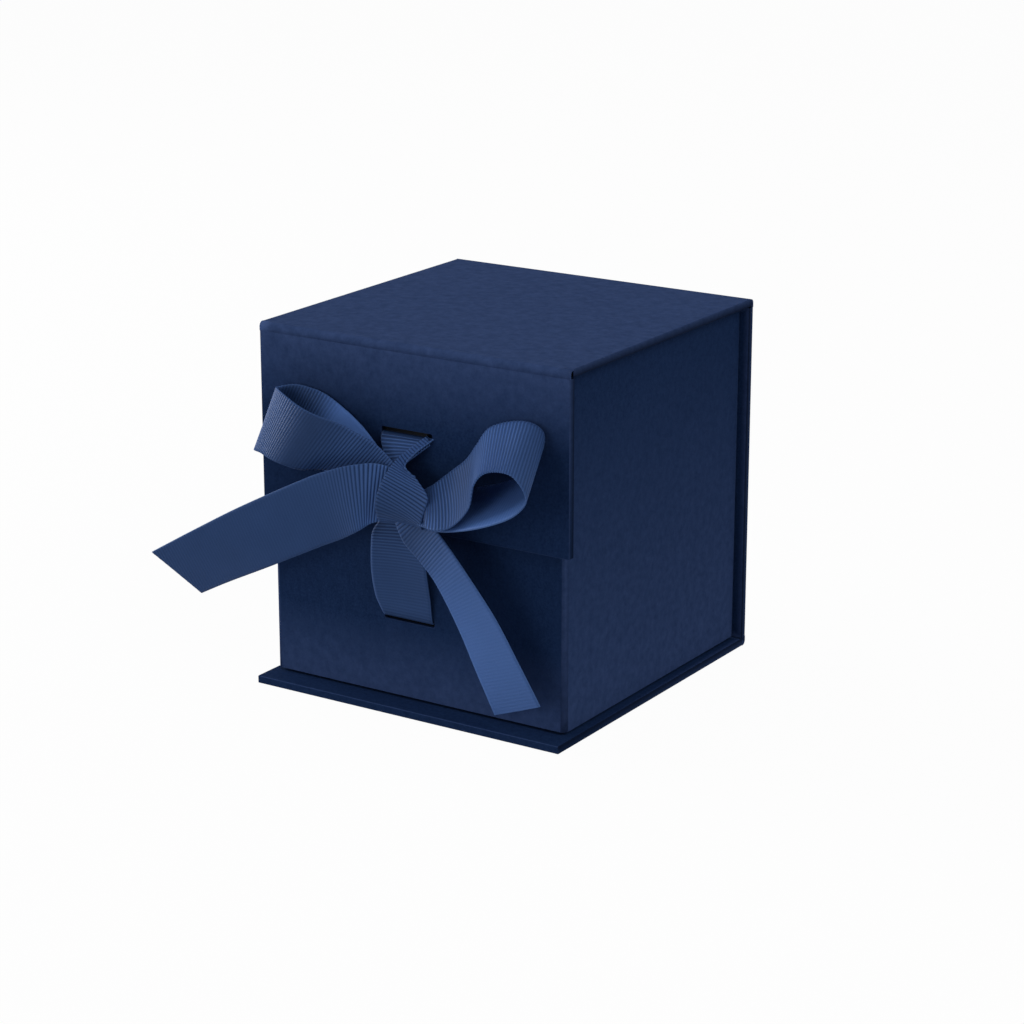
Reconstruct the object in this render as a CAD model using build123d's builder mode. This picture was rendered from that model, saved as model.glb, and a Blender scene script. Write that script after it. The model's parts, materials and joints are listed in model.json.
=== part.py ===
from build123d import *
import math
import os

# Magnetic gift box with a ribbon bow, standing closed. +Z is up, -Y is the front with the flap,
# and the origin is on the underside, midway between the flap's face and the spine's back.

# Driving dimensions in millimetres
case_width = 109.0
case_depth = 107.0
case_height = 113.0
front_ledge = 5.4
left_ledge = 1.6
right_ledge = 2.8
flap_height = 55.6
paper = 0.2
case_board = 2.0
tray_board = 1.6
ribbon_width = 22.0
ribbon_thickness = 0.5
slot_width = 18.4
slot_height = 2.0
upper_slot_x = -1.4
upper_slot_z = 86.5
lower_slot_x = -3.1
lower_slot_z = 27.8
magnet_radius = 5.0
magnet_thickness = 1.2
magnet_x = 32.0
magnet_z = 68.0

# Bow: places across and up the flap, and how far each ribbon stands out from the flap's face
bow_height = 71.0
loop_neck_radius = 1.5
left_loop_x = -6.0
left_loop_out = 7.0
left_loop_reach = 36.0
left_loop_radius = 5.5
left_loop_tilt = 20.9
right_loop_neck = (8.5, 69.0)
right_loop_end = (39.5, 81.0)
right_loop_out = 2.0
right_loop_slope = 23.0
right_loop_radius = 11.0
left_tail_x = -7.5
left_tail_out = 9.7
left_tail_turn = 10.2
right_tail_out = 4.5
knot_out = 0.7
knot_depth = 11.5
knot_corner = 1.5
knot_round = 2.5

# Clearances and margins
fit_gap = 0.4
fold_gap = 0.3
foot_gap = 0.8
lid_gap = 0.8
fold_radius = 1.5
edge_setback = 0.2
tray_corner = 1.6
liner_margin = 3.0
turn_in = 14.0
gathered_width = slot_width - 0.8
tab_length = 14.0

# Levels that the driving dimensions give
panel = case_board + 2 * paper
half_width = case_width / 2
front_y = -case_depth / 2
back_y = case_depth / 2
ledge_y = front_y - front_ledge
fold_start = fold_radius + edge_setback
panel_end = panel + fold_gap
flap_bottom = case_height - flap_height
board_half = half_width - paper
lid_low = case_height - panel
tray_left = -half_width + left_ledge
tray_right = half_width - right_ledge
tray_front = front_y + panel + fit_gap
tray_back = back_y - panel
tray_foot = panel + foot_gap
tray_top = lid_low - lid_gap
tray_wall = tray_board + paper
inner_left = tray_left + tray_wall
inner_right = tray_right - tray_wall
inner_front = tray_front + tray_wall
inner_back = tray_back - tray_wall
flap_inside = front_y + panel
whole_width = (-half_width, half_width)
board_width = (-board_half, board_half)
liner_width = (-half_width + liner_margin, half_width - liner_margin)
inner_width = (inner_left, inner_right)
inner_length = (inner_front, inner_back)

os.makedirs("parts", exist_ok=True)


def block(x, y, z, mode=Mode.ADD):
    """Adds a box that spans each (low, high) pair to the part being built."""
    with Locations(((x[0] + x[1]) / 2, (y[0] + y[1]) / 2, (z[0] + z[1]) / 2)):
        Box(x[1] - x[0], y[1] - y[0], z[1] - z[0], mode=mode)


def fold_strip(corner_y, corner_z, toward_y, toward_z, leg_y, leg_z):
    """Returns the paper bent round one outer corner of the case, as long as the case is wide.

    The corner is where the two outer faces would meet. toward_y and toward_z are 1 or -1 and
    point from it into the two panels, and the legs are how far the paper runs along each face.
    """
    with BuildPart() as strip:
        with BuildSketch(Plane.YZ.offset(-half_width)):
            for inset, mode in ((0, Mode.ADD), (paper, Mode.SUBTRACT)):
                near_y = corner_y + toward_y * inset
                near_z = corner_z + toward_z * inset
                far_y = corner_y + toward_y * leg_y
                far_z = corner_z + toward_z * leg_z
                with BuildLine():
                    along_y = Line((far_y, near_z), (corner_y + toward_y * fold_radius, near_z))
                    along_z = Line((near_y, corner_z + toward_z * fold_radius), (near_y, far_z))
                    RadiusArc(along_y @ 1, along_z @ 0, toward_y * toward_z * (fold_radius - inset))
                    Polyline(along_z @ 1, (far_y, far_z), along_y @ 0)
                make_face(mode=mode)
        extrude(amount=case_width)
    return strip.part


# Greyboards and papers of the case: base and spine stay with the tray
with BuildPart() as base_board:
    block(board_width, (ledge_y + paper, back_y - fold_start), (paper, paper + case_board))
base_board.part.label = "base_board"
export_step(base_board.part, "parts/base_board.step")

with BuildPart() as base_wrap:
    block(whole_width, (ledge_y, back_y - fold_start), (0, panel))
    add(base_board.part, mode=Mode.SUBTRACT)
    block(
        (-half_width + turn_in, half_width - turn_in),
        (ledge_y + turn_in, back_y - fold_start),
        (panel - paper, panel),
        mode=Mode.SUBTRACT,
    )
base_wrap.part.label = "base_wrap"
export_step(base_wrap.part, "parts/base_wrap.step")

with BuildPart() as spine_board:
    block(board_width, (tray_back + paper, back_y - paper), (panel_end, case_height - panel_end))
spine_board.part.label = "spine_board"
export_step(spine_board.part, "parts/spine_board.step")

with BuildPart() as spine_wrap:
    block(whole_width, (tray_back, back_y), (panel_end, case_height - panel_end))
    add(spine_board.part, mode=Mode.SUBTRACT)
    block(
        (-half_width + turn_in, half_width - turn_in),
        (tray_back, tray_back + paper),
        (panel_end, case_height - panel_end),
        mode=Mode.SUBTRACT,
    )
spine_wrap.part.label = "spine_wrap"
export_step(spine_wrap.part, "parts/spine_wrap.step")

base_spine_fold = fold_strip(back_y, 0, -1, 1, fold_start, panel_end)
base_spine_fold.label = "base_spine_fold"
export_step(base_spine_fold, "parts/base_spine_fold.step")

# Lid panel, with the paper folds at its two edges
with BuildPart() as lid_board:
    block(
        board_width,
        (front_y + fold_start, back_y - fold_start),
        (lid_low + paper, case_height - paper),
    )
lid_board.part.label = "lid_board"
export_step(lid_board.part, "parts/lid_board.step")

with BuildPart() as lid_liner:
    block(
        liner_width,
        (front_y + fold_start, back_y - fold_start),
        (lid_low, lid_low + paper),
    )
lid_liner.part.label = "lid_liner"
export_step(lid_liner.part, "parts/lid_liner.step")

with BuildPart() as lid_wrap:
    block(whole_width, (front_y + fold_start, back_y - fold_start), (lid_low, case_height))
    add([lid_board.part, lid_liner.part], mode=Mode.SUBTRACT)
lid_wrap.part.label = "lid_wrap"
export_step(lid_wrap.part, "parts/lid_wrap.step")

fold_drop = panel_end - edge_setback
lid_flap_fold = fold_strip(front_y, case_height, 1, -1, fold_start, fold_drop)
lid_flap_fold.label = "lid_flap_fold"
export_step(lid_flap_fold, "parts/lid_flap_fold.step")

spine_lid_fold = fold_strip(back_y, case_height, -1, -1, fold_start, fold_drop)
spine_lid_fold.label = "spine_lid_fold"
export_step(spine_lid_fold, "parts/spine_lid_fold.step")

# Ribbon strand that leaves the flap's slot, from its glued tab to the knot
upper_tab_y = flap_inside - paper - ribbon_thickness / 2
upper_run_z = upper_slot_z - ribbon_thickness
with BuildPart() as upper_ribbon:
    with BuildSketch(Plane.YZ.offset(upper_slot_x - gathered_width / 2)):
        with BuildLine():
            FilletPolyline(
                (upper_tab_y, upper_run_z + tab_length),
                (upper_tab_y, upper_run_z),
                (front_y - 1.2, upper_run_z),
                (front_y - 4.5, 75.0),
                radius=0.6,
            )
        trace(line_width=ribbon_thickness)
    extrude(amount=gathered_width)
upper_ribbon.part.label = "upper_ribbon"
export_step(upper_ribbon.part, "parts/upper_ribbon.step")

# Flap panel, slotted for the ribbon and pocketed for its magnets
with BuildPart() as flap_magnets:
    with BuildSketch(Plane.XZ.offset(-flap_inside + paper)):
        with Locations((-magnet_x, magnet_z), (magnet_x, magnet_z)):
            Circle(magnet_radius)
    extrude(amount=magnet_thickness)
flap_magnets.part.label = "flap_magnets"
export_step(flap_magnets.part, "parts/flap_magnets.step")

flap_top = case_height - panel_end
upper_slot_span = (upper_slot_x - slot_width / 2, upper_slot_x + slot_width / 2)
upper_slot_rise = (upper_slot_z - slot_height / 2, upper_slot_z + slot_height / 2)
with BuildPart() as flap_board:
    block(board_width, (front_y + paper, flap_inside - paper), (flap_bottom + paper, flap_top))
    block(upper_slot_span, (front_y, flap_inside), upper_slot_rise, mode=Mode.SUBTRACT)
    block(
        upper_slot_span,
        (flap_inside - paper - ribbon_thickness, flap_inside - paper),
        (upper_slot_z, upper_run_z + tab_length + edge_setback),
        mode=Mode.SUBTRACT,
    )
    add(flap_magnets.part, mode=Mode.SUBTRACT)
flap_board.part.label = "flap_board"
export_step(flap_board.part, "parts/flap_board.step")

with BuildPart() as flap_liner:
    block(
        liner_width,
        (flap_inside - paper, flap_inside),
        (flap_bottom + liner_margin, flap_top),
    )
flap_liner.part.label = "flap_liner"
export_step(flap_liner.part, "parts/flap_liner.step")

with BuildPart() as flap_wrap:
    block(whole_width, (front_y, flap_inside), (flap_bottom, flap_top))
    block(board_width, (front_y + paper, flap_inside - paper), (flap_bottom + paper, flap_top),
          mode=Mode.SUBTRACT)
    add(flap_liner.part, mode=Mode.SUBTRACT)
    block(upper_slot_span, (front_y, front_y + paper), upper_slot_rise, mode=Mode.SUBTRACT)
flap_wrap.part.label = "flap_wrap"
export_step(flap_wrap.part, "parts/flap_wrap.step")

# Tray: five boards, papers outside and in, and the magnets behind its front
wall_z = (tray_foot, tray_top - paper)
wall_length = (tray_front + paper, tray_back - paper)
with BuildPart() as tray_left_board:
    block((tray_left + paper, inner_left), wall_length, wall_z)
    outer_corners = tray_left_board.edges().filter_by(Axis.Z).group_by(Axis.X)[0]
    fillet(outer_corners, radius=tray_corner - paper)
tray_left_board.part.label = "tray_left_board"
export_step(tray_left_board.part, "parts/tray_left_board.step")

with BuildPart() as tray_right_board:
    block((inner_right, tray_right - paper), wall_length, wall_z)
    outer_corners = tray_right_board.edges().filter_by(Axis.Z).group_by(Axis.X)[-1]
    fillet(outer_corners, radius=tray_corner - paper)
tray_right_board.part.label = "tray_right_board"
export_step(tray_right_board.part, "parts/tray_right_board.step")

with BuildPart() as tray_back_board:
    block(inner_width, (inner_back, tray_back - paper), wall_z)
tray_back_board.part.label = "tray_back_board"
export_step(tray_back_board.part, "parts/tray_back_board.step")

with BuildPart() as tray_magnets:
    with BuildSketch(Plane.XZ.offset(-tray_front - paper)):
        with Locations((-magnet_x, magnet_z), (magnet_x, magnet_z)):
            Circle(magnet_radius)
    extrude(amount=-magnet_thickness)
tray_magnets.part.label = "tray_magnets"
export_step(tray_magnets.part, "parts/tray_magnets.step")

lower_slot_span = (lower_slot_x - slot_width / 2, lower_slot_x + slot_width / 2)
lower_slot_rise = (lower_slot_z - slot_height / 2, lower_slot_z + slot_height / 2)
lower_run_z = lower_slot_z + ribbon_thickness
lower_tab_y = inner_front - ribbon_thickness / 2
with BuildPart() as tray_front_board:
    block(inner_width, (tray_front + paper, inner_front), wall_z)
    block(lower_slot_span, (tray_front, inner_front), lower_slot_rise, mode=Mode.SUBTRACT)
    block(
        lower_slot_span,
        (inner_front - ribbon_thickness, inner_front),
        (lower_run_z - tab_length - edge_setback, lower_slot_z),
        mode=Mode.SUBTRACT,
    )
    add(tray_magnets.part, mode=Mode.SUBTRACT)
tray_front_board.part.label = "tray_front_board"
export_step(tray_front_board.part, "parts/tray_front_board.step")

floor_top = panel + tray_board
with BuildPart() as tray_floor_board:
    block(inner_width, inner_length, (panel, floor_top))
tray_floor_board.part.label = "tray_floor_board"
export_step(tray_floor_board.part, "parts/tray_floor_board.step")

with BuildPart() as tray_floor_paper:
    block(inner_width, inner_length, (floor_top, floor_top + paper))
tray_floor_paper.part.label = "tray_floor_paper"
export_step(tray_floor_paper.part, "parts/tray_floor_paper.step")

with BuildPart() as tray_wrap:
    block((tray_left, tray_right), (tray_front, tray_back), (tray_foot, tray_top))
    fillet(tray_wrap.edges().filter_by(Axis.Z), radius=tray_corner)
    boards = [tray_left_board, tray_right_board]
    add([board.part for board in boards], mode=Mode.SUBTRACT)
    block(inner_width, wall_length, wall_z, mode=Mode.SUBTRACT)
    block(inner_width, inner_length, (tray_foot, tray_top), mode=Mode.SUBTRACT)
    block(lower_slot_span, (tray_front, tray_front + paper), lower_slot_rise, mode=Mode.SUBTRACT)
tray_wrap.part.label = "tray_wrap"
export_step(tray_wrap.part, "parts/tray_wrap.step")

with BuildPart() as tray_lining:
    lining_z = (floor_top + paper, tray_top)
    block(inner_width, inner_length, lining_z)
    block(
        (inner_left + paper, inner_right - paper),
        (inner_front + paper, inner_back - paper),
        lining_z,
        mode=Mode.SUBTRACT,
    )
tray_lining.part.label = "tray_lining"
export_step(tray_lining.part, "parts/tray_lining.step")

# Ribbon strand that leaves the tray's slot and ends just under the flap's lower edge
with BuildPart() as lower_ribbon:
    with BuildSketch(Plane.YZ.offset(lower_slot_x - gathered_width / 2)):
        with BuildLine():
            FilletPolyline(
                (lower_tab_y, lower_run_z - tab_length),
                (lower_tab_y, lower_run_z),
                (tray_front - 0.9, lower_run_z),
                (tray_front - 4.6, flap_bottom - 0.6),
                radius=0.6,
            )
        trace(line_width=ribbon_thickness)
    extrude(amount=gathered_width)
lower_ribbon.part.label = "lower_ribbon"
export_step(lower_ribbon.part, "parts/lower_ribbon.step")

# Bow: two hollow loops, two tails and the knot that grips them
loop_tilt = math.radians(left_loop_tilt)
loop_plane = Plane(
    origin=(left_loop_x, front_y - left_loop_out, bow_height),
    x_dir=(-math.cos(loop_tilt), 0, math.sin(loop_tilt)),
    z_dir=(math.sin(loop_tilt), 0, math.cos(loop_tilt)),
)
with BuildPart() as bow_left_loop:
    with BuildSketch(loop_plane):
        Circle(loop_neck_radius)
        with Locations((left_loop_reach, 0)):
            Circle(left_loop_radius)
        make_hull()
        offset(amount=-ribbon_thickness, mode=Mode.SUBTRACT)
    extrude(amount=ribbon_width / 2, both=True)
bow_left_loop.part.label = "bow_left_loop"
export_step(bow_left_loop.part, "parts/bow_left_loop.step")

with BuildPart() as bow_right_loop:
    with BuildSketch(Plane.XZ.offset(right_loop_out - front_y)):
        with Locations(right_loop_neck):
            Circle(loop_neck_radius)
        with Locations(right_loop_end):
            Circle(right_loop_radius)
        make_hull()
        offset(amount=-ribbon_thickness, mode=Mode.SUBTRACT)
    extrude(amount=ribbon_width * math.cos(math.radians(right_loop_slope)))
bow_right_loop.part.label = "bow_right_loop"
export_step(bow_right_loop.part, "parts/bow_right_loop.step")

tail_turn = math.radians(left_tail_turn)
tail_plane = Plane(
    origin=(left_tail_x, front_y - left_tail_out, 0),
    x_dir=(-math.cos(tail_turn), -math.sin(tail_turn), 0),
    z_dir=(-math.sin(tail_turn), math.cos(tail_turn), 0),
)
with BuildPart() as bow_left_tail:
    with BuildSketch(tail_plane):
        with BuildLine():
            Polyline(
                (-3.0, 78.0), (6.0, 77.5), (15.0, 74.0), (74.0, 42.0),
                (57.0, 32.0), (30.0, 45.5), (7.0, 56.0), (-3.0, 63.0),
                close=True,
            )
        make_face()
    extrude(amount=-ribbon_thickness)
bow_left_tail.part.label = "bow_left_tail"
export_step(bow_left_tail.part, "parts/bow_left_tail.step")

with BuildPart() as bow_right_tail:
    with BuildSketch(Plane.XZ.offset(right_tail_out - front_y)):
        with BuildLine():
            Polyline(
                (-1.0, 65.0), (9.0, 66.0), (12.7, 59.5), (29.4, 41.5), (36.2, 31.0), (47.6, 13.1),
                (32.1, 7.3), (19.3, 32.1), (10.9, 45.6), (-1.0, 58.0),
                close=True,
            )
        make_face()
    extrude(amount=ribbon_thickness)
bow_right_tail.part.label = "bow_right_tail"
export_step(bow_right_tail.part, "parts/bow_right_tail.step")

with BuildPart() as bow_knot:
    with BuildSketch(Plane.XZ.offset(knot_out - front_y)):
        with BuildLine():
            Polyline(
                (-7.0, 60.0), (9.5, 62.0), (11.5, 72.5), (6.5, 80.0), (-3.0, 80.0), (-7.0, 74.0),
                close=True,
            )
        make_face()
    extrude(amount=knot_depth)
    fillet(bow_knot.edges().filter_by(Axis.Y), radius=knot_corner)
    fillet(bow_knot.faces().sort_by(Axis.Y)[0].edges(), radius=knot_round)
    gripped = [bow_left_loop, bow_right_loop, bow_left_tail, bow_right_tail, upper_ribbon]
    add([ribbon.part for ribbon in gripped], mode=Mode.SUBTRACT)
    with BuildSketch(loop_plane):
        Circle(loop_neck_radius)
        with Locations((loop_neck_radius, 0)):
            Rectangle(2 * loop_neck_radius, 2 * loop_neck_radius)
    extrude(amount=ribbon_width / 2, both=True, mode=Mode.SUBTRACT)
bow_knot.part.label = "bow_knot"
export_step(bow_knot.part, "parts/bow_knot.step")
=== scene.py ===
"""Magnetic gift box with a grosgrain bow: the papers, boards and ribbons around the fixed frame."""

import json
import logging
import math
from bisect import bisect_right
from dataclasses import dataclass, field
from enum import Enum
from typing import Any, Callable

import bmesh
import bpy
from mathutils import Matrix, Vector


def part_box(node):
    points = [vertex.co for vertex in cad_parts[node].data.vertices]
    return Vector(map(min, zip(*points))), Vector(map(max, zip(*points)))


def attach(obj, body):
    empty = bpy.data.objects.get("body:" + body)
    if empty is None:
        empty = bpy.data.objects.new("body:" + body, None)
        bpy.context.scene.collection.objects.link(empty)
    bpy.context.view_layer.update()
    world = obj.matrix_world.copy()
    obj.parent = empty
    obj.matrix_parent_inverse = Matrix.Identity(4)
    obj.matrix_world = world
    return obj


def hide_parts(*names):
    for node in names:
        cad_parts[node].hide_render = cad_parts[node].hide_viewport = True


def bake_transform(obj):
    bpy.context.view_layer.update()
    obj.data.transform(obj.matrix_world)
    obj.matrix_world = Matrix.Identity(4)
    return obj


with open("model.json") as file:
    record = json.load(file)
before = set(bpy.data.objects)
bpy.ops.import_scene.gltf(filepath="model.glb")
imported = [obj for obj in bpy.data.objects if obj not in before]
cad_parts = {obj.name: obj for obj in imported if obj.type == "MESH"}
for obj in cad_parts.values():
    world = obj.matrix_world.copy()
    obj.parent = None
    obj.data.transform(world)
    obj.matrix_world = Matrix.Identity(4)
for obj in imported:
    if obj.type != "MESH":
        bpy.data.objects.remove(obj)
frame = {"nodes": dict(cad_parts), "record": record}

LOG = logging.getLogger("gift_box")
MM = 0.001
PAPER = 0.2 * MM
LINER_MARGIN = 3.0 * MM
RIBBON_WIDTH = 22.0 * MM
RIB_PITCH = 1.03 * MM
FULL_RIB = 0.07
NARROW_FACE = 4e-6
Colour = tuple[float, float, float, float]
Point = tuple[float, float, float]
WHITE: Colour = (1.0, 1.0, 1.0, 1.0)

# How near to each other points count as one, and how near to a cut they snap to it, in metres
TOUCH = 1e-6
SNAP = 1e-7

# Cosines: over the first a normal points along a way, and under the second across it
ALONG = 0.99
ACROSS = 0.5


class Body(str, Enum):
    """The rigid bodies that pieces ride on."""

    BOX = "box"
    LID = "lid"
    FLAP = "flap"


class Slot(str, Enum):
    """The record's material slots."""

    COVER = "cover_paper"
    LINING = "lining_paper"
    BOARD = "greyboard"
    RIBBON = "ribbon"
    MAGNET = "magnet"


def srgb(red: int, green: int, blue: int) -> Colour:
    """Turns a screen colour into the linear colour that a shader takes.

    Args:
        red: Red from 0 to 255.
        green: Green from 0 to 255.
        blue: Blue from 0 to 255.

    Returns:
        The linear colour with an alpha of 1.
    """

    def linear(value: int) -> float:
        """Gives one channel in linear light."""
        share = value / 255
        return share / 12.92 if share <= 0.04045 else ((share + 0.055) / 1.055) ** 2.4

    return (linear(red), linear(green), linear(blue), 1.0)


class Wire:
    """A shader socket that can stand in a sum."""

    def __init__(self, graph: "Graph", socket: bpy.types.NodeSocket) -> None:
        """Keeps the socket and the graph that it belongs to."""
        self.graph = graph
        self.socket = socket

    def _math(self, operation: str, *values: Any) -> "Wire":
        """Adds one Math node."""
        return self.graph.add("ShaderNodeMath", {"operation": operation}, dict(enumerate(values)))

    def __add__(self, other: Any) -> "Wire":
        """Gives self + other."""
        return self._math("ADD", self, other)

    def __radd__(self, other: Any) -> "Wire":
        """Gives other + self."""
        return self._math("ADD", other, self)

    def __sub__(self, other: Any) -> "Wire":
        """Gives self - other."""
        return self._math("SUBTRACT", self, other)

    def __rsub__(self, other: Any) -> "Wire":
        """Gives other - self."""
        return self._math("SUBTRACT", other, self)

    def __mul__(self, other: Any) -> "Wire":
        """Gives self * other."""
        return self._math("MULTIPLY", self, other)

    def __rmul__(self, other: Any) -> "Wire":
        """Gives other * self."""
        return self._math("MULTIPLY", other, self)

    def larger(self, other: "Wire") -> "Wire":
        """Gives the larger of two values."""
        return self._math("MAXIMUM", self, other)

    def sine(self) -> "Wire":
        """Gives the sine of an angle in radians."""
        return self._math("SINE", self)

    def absolute(self) -> "Wire":
        """Gives the value without its sign."""
        return self._math("ABSOLUTE", self)


class Graph:
    """The node tree of a material or of the world."""

    def __init__(self, owner: bpy.types.Material | bpy.types.World) -> None:
        """Empties the owner's node tree and works on it."""
        self.owner = owner
        owner.use_nodes = True
        self.tree = owner.node_tree
        self.tree.nodes.clear()

    @classmethod
    def of_material(cls, name: str) -> "Graph":
        """Starts a new material of that name."""
        return cls(bpy.data.materials.new(name))

    def add(
        self,
        kind: str,
        settings: dict[str, Any] | None = None,
        inputs: dict[str | int, Any] | None = None,
        output: str | int = 0,
    ) -> Wire:
        """Adds a node.

        Args:
            kind: The node's type.
            settings: Its settings, set first.
            inputs: A value or a Wire for each socket that isn't left alone.
            output: The output to hand back.

        Returns:
            That output as a Wire, or the first input where the node has no output.
        """
        node = self.tree.nodes.new(kind)
        for name, value in (settings or {}).items():
            setattr(node, name, value)
        for name, value in (inputs or {}).items():
            if isinstance(value, Wire):
                self.tree.links.new(value.socket, node.inputs[name])
            else:
                node.inputs[name].default_value = value
        return Wire(self, node.outputs[output] if node.outputs else node.inputs[0])

    def mix(self, factor: Any, first: Any, second: Any) -> Wire:
        """Mixes two colours by a factor."""
        return self.add("ShaderNodeMix", {"data_type": "RGBA"}, {0: factor, 6: first, 7: second}, 2)

    def noise(self, where: Wire, scale: float, detail: float = 3.0, roughness: float = 0.55) -> Wire:
        """Gives a cloud noise from 0 to 1, with a scale in turns for each metre."""
        return self.add(
            "ShaderNodeTexNoise",
            inputs={"Vector": where, "Scale": scale, "Detail": detail, "Roughness": roughness},
        )

    def attribute(self, name: str) -> Wire:
        """Gives a number that the piece's mesh holds at each vertex."""
        return self.add("ShaderNodeAttribute", {"attribute_name": name}, output="Fac")

    def place(self) -> Wire:
        """Gives the object coordinates."""
        return self.add("ShaderNodeTexCoord", output="Object")

    def stretched(self, where: Wire, scale: Point) -> Wire:
        """Gives coordinates stretched by scale."""
        return self.add("ShaderNodeMapping", inputs={"Vector": where, "Scale": scale})

    def bump(self, height: Wire, distance: float, strength: float = 1.0) -> Wire:
        """Gives a normal bent by a height."""
        return self.add(
            "ShaderNodeBump", inputs={"Height": height, "Distance": distance, "Strength": strength}
        )

    def seen_directly(self) -> Wire:
        """Gives 1 for camera, glossy and transmission rays and 0 for the others."""
        camera, glossy, through = (
            self.add("ShaderNodeLightPath", output=f"Is {kind} Ray")
            for kind in ("Camera", "Glossy", "Transmission")
        )
        return camera.larger(glossy).larger(through)

    def mix_shaders(self, share: Wire, first: Wire, second: Wire) -> Wire:
        """Mixes two shaders by a share."""
        return self.add("ShaderNodeMixShader", inputs={0: share, 1: first, 2: second})

    def surface(self, inputs: dict[str, Any]) -> bpy.types.Material:
        """Closes the tree with a Principled shader.

        Args:
            inputs: Its values and links.

        Returns:
            The finished material.
        """
        shader = self.add("ShaderNodeBsdfPrincipled", inputs=inputs)
        self.add("ShaderNodeOutputMaterial", inputs={"Surface": shader})
        return self.owner


@dataclass(frozen=True)
class PaperFinish:
    """Matte dyed paper with a very fine tooth, paler along its edges from rubbing, with a painted highlight
    on the folds and painted shade on the narrow sides and in the slots.
    """

    name: str
    deep: Colour = srgb(20, 39, 73)
    pale: Colour = srgb(37, 59, 99)
    # This paler colour is paper scuffed by rubbing along the edges, and on the folds a painted highlight.
    rubbed_and_highlight: Colour = srgb(82, 104, 156)
    # This dark colour is painted shade on the panels' narrow sides and in the slots' depths.
    edge: Colour = srgb(8, 18, 38)
    painted_shade_share: float = 0.85
    roughness: float = 0.78
    reflection: float = 0.015
    tooth_scale: float = 1500.0
    fibre_scale: float = 700.0
    fibre_stretch: Point = (1.0, 1.0, 0.6)
    cloud_scale: float = 26.0
    scuff_and_highlight_scale: float = 420.0
    relief: float = 0.06 * MM

    def build(self) -> bpy.types.Material:
        """Makes the paper's material."""
        graph = Graph.of_material(self.name)
        place = graph.place()
        tooth = graph.noise(place, self.tooth_scale, 4.0, 0.65)
        fibre = graph.noise(graph.stretched(place, self.fibre_stretch), self.fibre_scale, 2.0)
        cloud = graph.noise(place, self.cloud_scale, 2.0)
        shade = tooth * 1.5 + fibre * 0.6 + cloud * 0.3 - 0.7
        dyed = graph.mix(shade, self.deep, self.pale)
        # Paleness from rubbing on the edges and painted highlight on the folds.
        scuff_and_highlight = graph.attribute("wear_and_highlight") * (0.2 + graph.noise(place, self.scuff_and_highlight_scale, 3.0) * 0.6)
        worn_and_highlit = graph.mix(scuff_and_highlight, dyed, self.rubbed_and_highlight)
        # Painted shade on narrow sides and in slot depths.
        painted_shade = graph.attribute("painted_edge_shade") * self.painted_shade_share
        return graph.surface(
            {
                "Base Color": graph.mix(painted_shade, worn_and_highlit, self.edge),
                "Roughness": self.roughness + tooth * 0.14 - 0.07,
                "Specular IOR Level": self.reflection,
                "Normal": graph.bump(tooth * 0.6 + fibre * 0.4, self.relief, 0.6),
            }
        )


@dataclass(frozen=True)
class BoardFinish:
    """Raw grey chipboard with pale and dark flecks."""

    name: str = "raw_greyboard"
    dark_pulp: Colour = srgb(96, 92, 86)
    pale_pulp: Colour = srgb(158, 152, 142)
    fleck: Colour = srgb(70, 66, 60)
    pulp_scale: float = 700.0
    fleck_scale: float = 900.0
    roughness: float = 0.82
    relief: float = 0.1 * MM

    def build(self) -> bpy.types.Material:
        """Makes the board's material."""
        graph = Graph.of_material(self.name)
        place = graph.place()
        pulp = graph.noise(place, self.pulp_scale, 5.0, 0.7)
        cells = {"Vector": place, "Scale": self.fleck_scale}
        distance = graph.add("ShaderNodeTexVoronoi", {"feature": "F1"}, cells, "Distance")
        colour = graph.mix(pulp, self.dark_pulp, self.pale_pulp)
        return graph.surface(
            {
                "Base Color": graph.mix(distance * 0.5, self.fleck, colour),
                "Roughness": self.roughness + pulp * 0.1,
                "Normal": graph.bump(pulp, self.relief, 0.6),
            }
        )


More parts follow.
